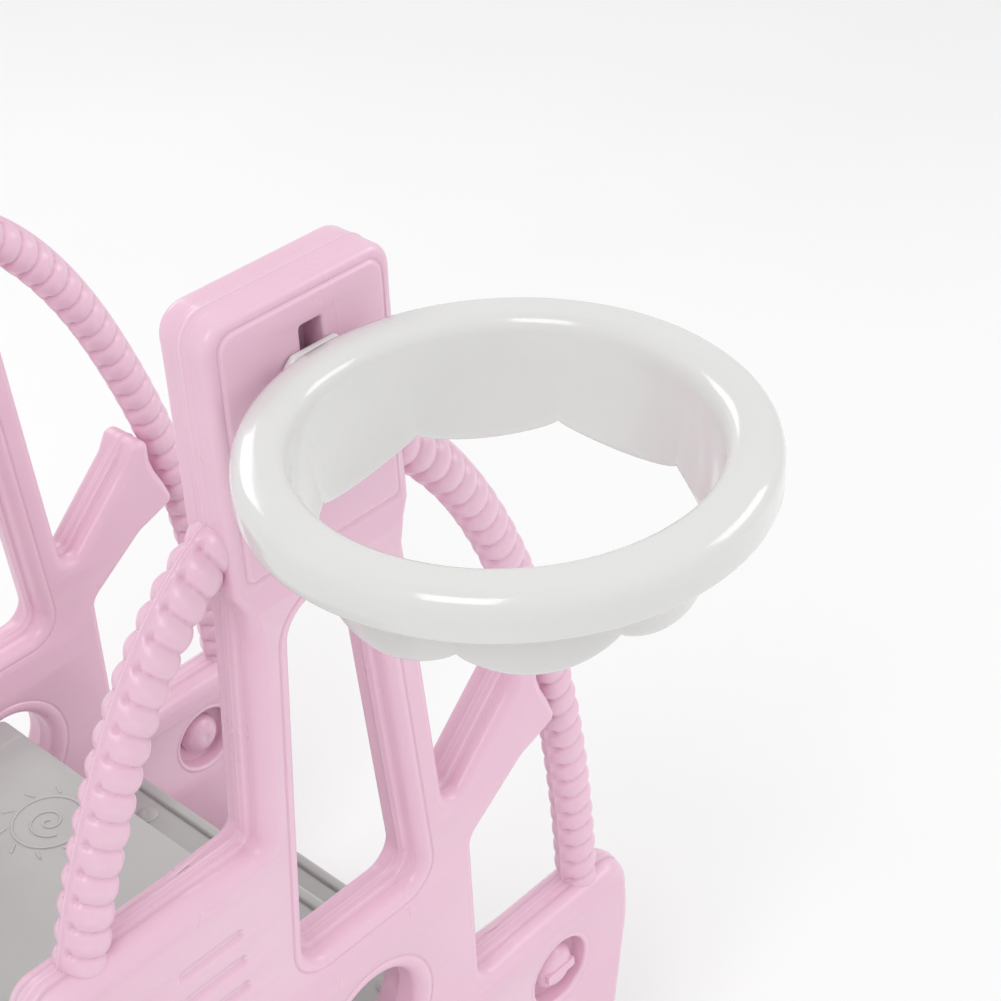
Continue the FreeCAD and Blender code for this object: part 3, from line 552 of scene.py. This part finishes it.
def make_hoop():
    """Rounded rim and a fluted skirt with eight scallops, in one closed profile round the axis."""
    build = Build()
    # The rim's outside, over its top and down inside, then its underside outside the skirt.
    shell = [(125.0, -9.5), (125.0, -5.0), (125.0, 0.0), (124.8, 3.0), (123.9, 6.0), (122.3, 8.6),
             (119.8, 10.8), (116.4, 12.2), (112.0, 12.9), (108.0, 12.8), (104.4, 12.0), (101.6, 10.4),
             (99.7, 8.0), (98.6, 5.0), (98.1, 1.0), (97.9, -3.0)]
    channel = [(101.4, -6.0), (101.8, -1.0), (102.8, 3.4), (105.4, 6.8), (109.0, 8.4), (113.0, 8.4),
               (117.2, 7.0), (120.0, 4.0), (121.0, 0.0), (121.2, -5.0), (121.4, -9.6), (121.9, -11.0),
               (122.8, -11.6), (123.9, -11.4), (124.7, -10.6)]
    rings = []
    for i in range(HOOP_STATIONS):
        theta = 2 * math.pi * i / HOOP_STATIONS
        cusp = abs(math.sin(SCALLOPS / 2 * (theta - SCALLOP_TURN)))
        low = -42.6 - 10.8 * cusp ** 0.72
        flute = 0.5 * (cusp ** 0.8 - 0.5)

        def wall(radius, share):
            z = SKIRT_TOP + (low - SKIRT_TOP + 2.4) * share
            return (radius - SKIRT_TAPER * share + flute * share ** 1.2, z)

        inner = [wall(97.8, share) for share in WALL_SHARES]
        bottom = 91.6 + flute
        lip = [(bottom + 0.25, low + 1.0), (bottom + 0.9, low + 0.2), (bottom + 1.7, low),
               (bottom + 2.5, low + 0.3), (bottom + 3.1, low + 1.1)]
        outer = [wall(101.2, share) for share in OUTER_SHARES]
        profile = shell + inner + lip + outer + channel
        c, s = math.cos(theta), math.sin(theta)
        rings.append(build.ring([(r * c, HOOP_Y + r * s, HOOP_Z + z) for r, z in profile]))
    build.skin(rings + rings[:1])
    made = build.finish("ball_hoop", WHITE, body="hoop", sharp=60.0)
    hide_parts("hoop")


def layered(build, outline, layers, share=1.0):
    """Solid of one outline in (y, inset) layers. share scales the inset at each outline point."""
    normal = inward(outline)
    rings = []
    for y, inset in layers:
        flat = outline + normal * inset * share
        rings.append(build.ring([(p[0], y, p[1]) for p in flat]))
    build.skin(rings)
    build.close_ends(rings)


def make_neck():
    """Flange against the head block with chamfered shoulders, the bridge to the rim and the stem."""
    face = -PANEL_Y - HALF - PLATE_RISE - 0.6
    flange = [(-19, HOOP_Z + 1, 3), (-13, HOOP_Z + 6.5, 3), (15, HOOP_Z + 6.5, 3),
              (21, HOOP_Z + 1, 3), (21, 747, 3), (-19, 747, 3)]
    bridge = box(-17, 19, HOOP_Z - 24, HOOP_Z + 3, 4)
    stem = box(-3.8, 9.8, 747, HOOP_Z - 3, 2)
    for name, corners, y0, y1 in (("hoop_flange", flange, face - 5.0, face),
                                  ("hoop_bridge", bridge, HOOP_Y + 104, face - 2),
                                  ("hoop_stem", stem, face - 2, face + 9)):
        build = Build()
        layered(build, rounded(corners, arc_step=18.0),
                [(y0, 1.5), (y0 + 0.5, 0.5), (y0 + 1.5, 0), (y1 - 1.5, 0), (y1 - 0.5, 0.5), (y1, 1.5)])
        build.finish(name, WHITE, body="hoop", sharp=50.0)


# ---------------------------------------------------------------- chute
LEVEL, DECK_FLAT, CREST, SLOPE = 368.0, 90.0, 260.0, math.radians(28.0)
BOWL, FLOOR_LEVEL, FLAT_END = 300.0, 48.0, 96.0
CREST_END = (-DECK_FLAT - CREST * math.sin(SLOPE), LEVEL - CREST * (1 - math.cos(SLOPE)))
BOWL_Z = FLOOR_LEVEL + BOWL * (1 - math.cos(SLOPE))
BOWL_X = CREST_END[0] - (CREST_END[1] - BOWL_Z) / math.tan(SLOPE)
FLAT_X = BOWL_X - BOWL * math.sin(SLOPE)
END_X = FLAT_X - FLAT_END
SPLIT_X = -440.0
HALF_WIDTH = 164.0
RIM_WIDTH, RIM_HEIGHT, RIM_FALL, RIM_TIP = 24.0, 50.0, 22.0, 34.0
BED_THICK, DECK_EXTRA = 24.0, 21.0
DECK_NOSE, END_NOSE, END_NOSE_RUN = 8.0, 12.0, 13.0


def bed_path():
    """Points along the sliding surface from the deck's step edge to the run-out: x, z and lean."""
    deck = np.concatenate([np.linspace(0, DECK_NOSE, 7), np.linspace(14, DECK_FLAT, 8)])
    points = [(-v, LEVEL, 0.0) for v in deck]
    for a in np.linspace(0, SLOPE, 15)[1:]:
        points.append((-DECK_FLAT - CREST * math.sin(a), LEVEL - CREST * (1 - math.cos(a)), a))
    for share in np.linspace(0, 1, 34)[1:]:
        points.append((CREST_END[0] + (BOWL_X - CREST_END[0]) * share,
                       CREST_END[1] + (BOWL_Z - CREST_END[1]) * share, SLOPE))
    for a in np.linspace(SLOPE, 0, 15)[1:]:
        points.append((FLAT_X + BOWL * math.sin(a), FLOOR_LEVEL + BOWL * (1 - math.cos(a)), a))
    for share in np.concatenate([np.linspace(0, 0.85, 8)[1:], np.linspace(0.86, 1, 7)]):
        points.append((FLAT_X - FLAT_END * share, FLOOR_LEVEL, 0.0))
    return points


def rim_rise(x):
    """Height of the side rims over the bed: none on the deck, full on the slope, low at the end."""
    rise = RIM_HEIGHT * smooth_step(-128.0, -262.0, x)
    rise = rise - RIM_FALL * smooth_step(BOWL_X, FLAT_X - 10, x)
    from_end = max(0.0, x - END_X)
    if from_end < RIM_TIP:
        rise = rise - (RIM_TIP - from_end) ** 2 / RIM_TIP * 0.9
    return max(rise, 0.6)


def nose_drop(x):
    """How far the upper surface rounds down at the deck's step edge and at the run-out's end."""
    if x > -DECK_NOSE:
        return DECK_NOSE - math.sqrt(max(0.0, DECK_NOSE ** 2 - (DECK_NOSE + x) ** 2))
    from_end = max(0.0, x - END_X)
    if from_end < END_NOSE_RUN:
        inward_run = END_NOSE - from_end * END_NOSE / END_NOSE_RUN
        return END_NOSE - math.sqrt(max(0.0, END_NOSE ** 2 - inward_run ** 2))
    return 0.0


def chute_section(rise, thick):
    """Cross-section as (y, height over the bed), from the underside's left edge round to its right."""
    lip = min(1.0, rise / 14.0)
    round_top = 2.5 + 8.5 * lip
    round_in = 9.0 * lip
    inner = HALF_WIDTH - RIM_WIDTH
    wall_top = rise - round_top
    half = [(-HALF_WIDTH + 3, -thick), (-HALF_WIDTH + 0.8, -thick + 0.8), (-HALF_WIDTH, -thick + 3),
            (-HALF_WIDTH, (min(wall_top, 0) + wall_top) * 0.5)]
    for a in quarter_angles(6):
        half.append((-HALF_WIDTH + round_top * (1 - math.cos(a)), wall_top + round_top * math.sin(a)))
    for a in quarter_angles(6):
        half.append((-inner - (10.0 - 10.0 * math.sin(a)), rise - round_in * (1 - math.cos(a))))
    fillet = min(9.0, rise * 0.6)
    low_wall = min(rise - round_in, rise * 0.75)
    half.append((-inner, fillet + (low_wall - fillet) * 0.5))
    for a in quarter_angles(5):
        half.append((-inner + 11.0 * (1 - math.cos(a)), fillet - fillet * math.sin(a)))
    half += [(-110, 0.0), (-60, -0.3), (0, -0.5)]
    return half + [(-y, v) for y, v in half[-2::-1]]


def make_chute(name, node, x_from, x_to):
    """One chute section: bed with rounded side rims that rise from the deck and fade at the end."""
    stations = [p for p in bed_path() if x_to - 0.01 <= p[0] <= x_from + 0.01]
    share = (SPLIT_X - CREST_END[0]) / (BOWL_X - CREST_END[0])
    joint = (SPLIT_X, CREST_END[1] + (BOWL_Z - CREST_END[1]) * share, SLOPE)
    stations = stations + [joint] if x_to == SPLIT_X else [joint] + stations
    build = Build()
    rings = []
    for x, z, lean in stations:
        thick = BED_THICK + DECK_EXTRA * smooth_step(-215.0, -150.0, x)
        drop = nose_drop(x)
        up_x, up_z = -math.sin(lean), math.cos(lean)
        points = []
        for y, v in chute_section(rim_rise(x), thick):
            v = v - drop if v > -thick + 4 else v
            points.append((x + up_x * v, y, z + up_z * v))
        rings.append(build.ring(points))
    build.skin(rings)
    build.close_ends(rings)
    made = build.finish(name, GREY, sharp=42.0)
    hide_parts(node)


def make_runner(side):
    """Foot under one rim of the run-out, down to its rubber pad."""
    outline = rounded([(END_X + 1, 36, 2), (END_X + 5, 3, 6), (FLAT_X - 4, 3, 16),
                       (FLAT_X + 116, 46.4, 4), (FLAT_X + 116, 58, 2), (FLAT_X + 10, 40, 2)],
                      arc_step=15.0)
    build = Build()
    layered(build, outline, [(side * y, inset) for y, inset in (
        (140, 1.2), (140.6, 0.4), (142, 0), (162, 0), (163.4, 0.4), (HALF_WIDTH, 1.2))])
    build.finish("runner_" + hand_name(side), GREY, sharp=42.0)


STEP_RUN, STEP_DROP = 99.5, 122.5
TREAD_DEPTH, TREAD_THICK, TREAD_DIP = 108.0, 36.0, 2.5


def make_tread(step, node):
    """Step board with a rounded nosing behind a narrow groove, and soft ends."""
    front = STEP_RUN * step
    top = LEVEL - STEP_DROP * step
    back, low, flat = front - TREAD_DEPTH, top - TREAD_THICK, top - TREAD_DIP
    outline = rounded([
        (back, flat, 4.5), (front - 11.6, flat, 0.5), (front - 11.3, flat - 1.2, 0.35),
        (front - 10.2, flat - 1.2, 0.35), (front - 9.4, top, 2.4), (front, top, 4.0),
        (front, low + 6, 5), (front - 10, low, 6), (back, low, 6)], arc_step=12.0, line_step=20.0)
    groove = np.hypot(outline[:, 0] - (front - 11), outline[:, 1] - flat) < 5
    build = Build()
    layered(build, outline, [
        (-HALF_WIDTH, 2.0), (-163.4, 1.0), (-162.0, 0.2), (-161, 0), (161, 0), (162, 0.2),
        (163.4, 1.0), (HALF_WIDTH, 2.0)], share=np.where(groove, 0.1, 1.0)[:, None])
    made = build.finish(node + "_board", GREY, sharp=40.0)
    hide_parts(node)


# ---------------------------------------------------------------- deck ornament
EMBLEM_X, EMBLEM_Y = -45.0, 56.0
EMBLEM_RADIUS, SPIRAL_GROWTH = 24.0, 1.35
RAYS, RAY_FROM, RAY_TO = 10, 27.5, 34.0


def raised_line(build, points, radius, closed=False):
    """Thin rounded bead along (x, y) points on the deck."""
    points = np.array(points, float)
    count = len(points)
    rings = []
    for i in range(count):
        before = points[i - 1] if (closed or i > 0) else points[i]
        after = points[(i + 1) % count] if (closed or i < count - 1) else points[i]
        t = (after - before) / np.linalg.norm(after - before)
        side = np.array([-t[1], t[0]])
        ring = []
        for a in np.linspace(0, 2 * math.pi, 8, endpoint=False):
            p = points[i] + side * radius * math.cos(a)
            ring.append((p[0], p[1], LEVEL + 0.1 + 0.85 * radius * math.sin(a)))
        rings.append(build.ring(ring))
    build.skin(rings)
    if closed:
        build.band(rings[-1], rings[0])
    else:
        build.close_ends(rings)


def around(radius, angle):
    return (EMBLEM_X + radius * math.cos(angle), EMBLEM_Y + radius * math.sin(angle))


def make_emblem():
    """Plain moulded ornament on the deck: a ring with a spiral and short rays."""
    build = Build()
    circle = np.linspace(0, 2 * math.pi, 64, endpoint=False)
    raised_line(build, [around(EMBLEM_RADIUS, a) for a in circle], 0.85, closed=True)
    spiral = np.linspace(0.6, 3.4 * math.pi, 60)
    raised_line(build, [around(SPIRAL_GROWTH * a, a) for a in spiral], 0.7)
    for k in range(RAYS):
        a = 2 * math.pi * k / RAYS
        ray = [around(r, a + 0.02 * (r - 27)) for r in np.linspace(RAY_FROM, RAY_TO, 6)]
        raised_line(build, ray, 0.75)
    build.finish("deck_ornament", GREY, sharp=80.0)


for hand in (-1, 1):
    make_panel(hand)
    for side in (1, -1):
        make_rail(hand, side)
make_hoop()
make_neck()
make_chute("chute_top_section", "chute_upper", 0.0, SPLIT_X)
make_chute("chute_low_section", "chute_lower", SPLIT_X, END_X)
make_runner(-1)
make_runner(1)
make_tread(1, "tread_upper")
make_tread(2, "tread_lower")
make_emblem()

# CAD nodes that stay get the same skins.
slots = {entry["node"]: entry["material_slot"] for entry in frame["record"]["subparts"]}
for node, made in frame["nodes"].items():
    made.data.materials.clear()
    made.data.materials.append(SLOT_LOOKS[slots[node]])

# ---------------------------------------------------------------- floor, light, camera
FLOOR_REACH, FLOOR_Z = 6000, -0.4
floor_build = Build()
grid = np.linspace(-FLOOR_REACH, FLOOR_REACH, 13)
rows = [floor_build.ring([(x, y, FLOOR_Z) for x in grid]) for y in grid]
for a, b in zip(rows, rows[1:]):
    floor_build.band(a, b, closed=False)
floor_points = [(x * MM, y * MM, z * MM) for x, y, z in floor_build.points]
floor_mesh = bpy.data.meshes.new("floor")
floor_mesh.from_pydata(floor_points, [], floor_build.faces)
floor = bpy.data.objects.new("floor", floor_mesh)
bpy.context.scene.collection.objects.link(floor)
floor_look = Nodes("pale_floor")
floor_tint = floor_look.mix(floor_look.noise(3.0), linear(250, 250, 250), linear(247, 247, 247))
floor_look.link(floor_tint, floor_look.shader.inputs["Base Color"])
floor_look.shader.inputs["Roughness"].default_value = 0.85
floor_mesh.materials.append(floor_look.material)

world = bpy.data.worlds.new("studio")
bpy.context.scene.world = world
world.use_nodes = True
background = world.node_tree.nodes["Background"]
background.inputs["Color"].default_value = (1.0, 1.0, 1.0, 1.0)
background.inputs["Strength"].default_value = 0.80


def soft_light(name, place, target, size, power):
    """Area light of size metres, aimed from place to target about the drawing's origin."""
    data = bpy.data.lights.new(name, "AREA")
    data.shape = "RECTANGLE"
    data.size, data.size_y = size
    data.energy = power
    lamp = bpy.data.objects.new(name, data)
    lamp.location = Vector(place) + CENTRE
    lamp.rotation_euler = (Vector(target) - Vector(place)).to_track_quat("-Z", "Y").to_euler()
    bpy.context.scene.collection.objects.link(lamp)


soft_light("key_light", (-1.6, -0.9, 2.6), (0, 0, 0.6), (1.1, 1.1), 15.0)
soft_light("side_light", (1.9, -1.6, 1.7), (0, 0, 0.5), (1.4, 0.8), 11.0)
soft_light("back_light", (0.4, 2.2, 2.0), (0, 0, 0.5), (1.6, 0.8), 11.0)

# The camera stands and looks as the photograph's does. Angles in degrees, lens and sensor in mm,
# shifts as shares of the frame's width.
CAMERA_PLACE = Vector((-0.579, -0.897, 1.347))
YAW, PITCH, ROLL = 42.93, 34.61, 1.89
SENSOR, LENS = 36.0, 77.587
SHIFT_X, SHIFT_Y = -0.0475924, -0.0239161
camera_data = bpy.data.cameras.new("camera")
camera = bpy.data.objects.new("camera", camera_data)
bpy.context.scene.collection.objects.link(camera)
yaw, pitch, roll = (math.radians(v) for v in (YAW, PITCH, ROLL))
ahead = Vector((math.cos(yaw) * math.cos(pitch), math.sin(yaw) * math.cos(pitch), -math.sin(pitch)))
right = Vector((math.sin(yaw), -math.cos(yaw), 0.0))
down = ahead.cross(right)
turned_right = right * math.cos(roll) + down * math.sin(roll)
turned_down = down * math.cos(roll) - right * math.sin(roll)
axes = Matrix((turned_right, -turned_down, -ahead)).transposed().to_4x4()
camera.matrix_world = Matrix.Translation(CAMERA_PLACE + CENTRE) @ axes
camera_data.sensor_width = SENSOR
camera_data.lens = LENS
camera_data.shift_x = SHIFT_X
camera_data.shift_y = SHIFT_Y
camera_data.clip_start, camera_data.clip_end = 0.05, 50.0
bpy.context.scene.camera = camera
bpy.context.scene.view_settings.view_transform = "Standard"
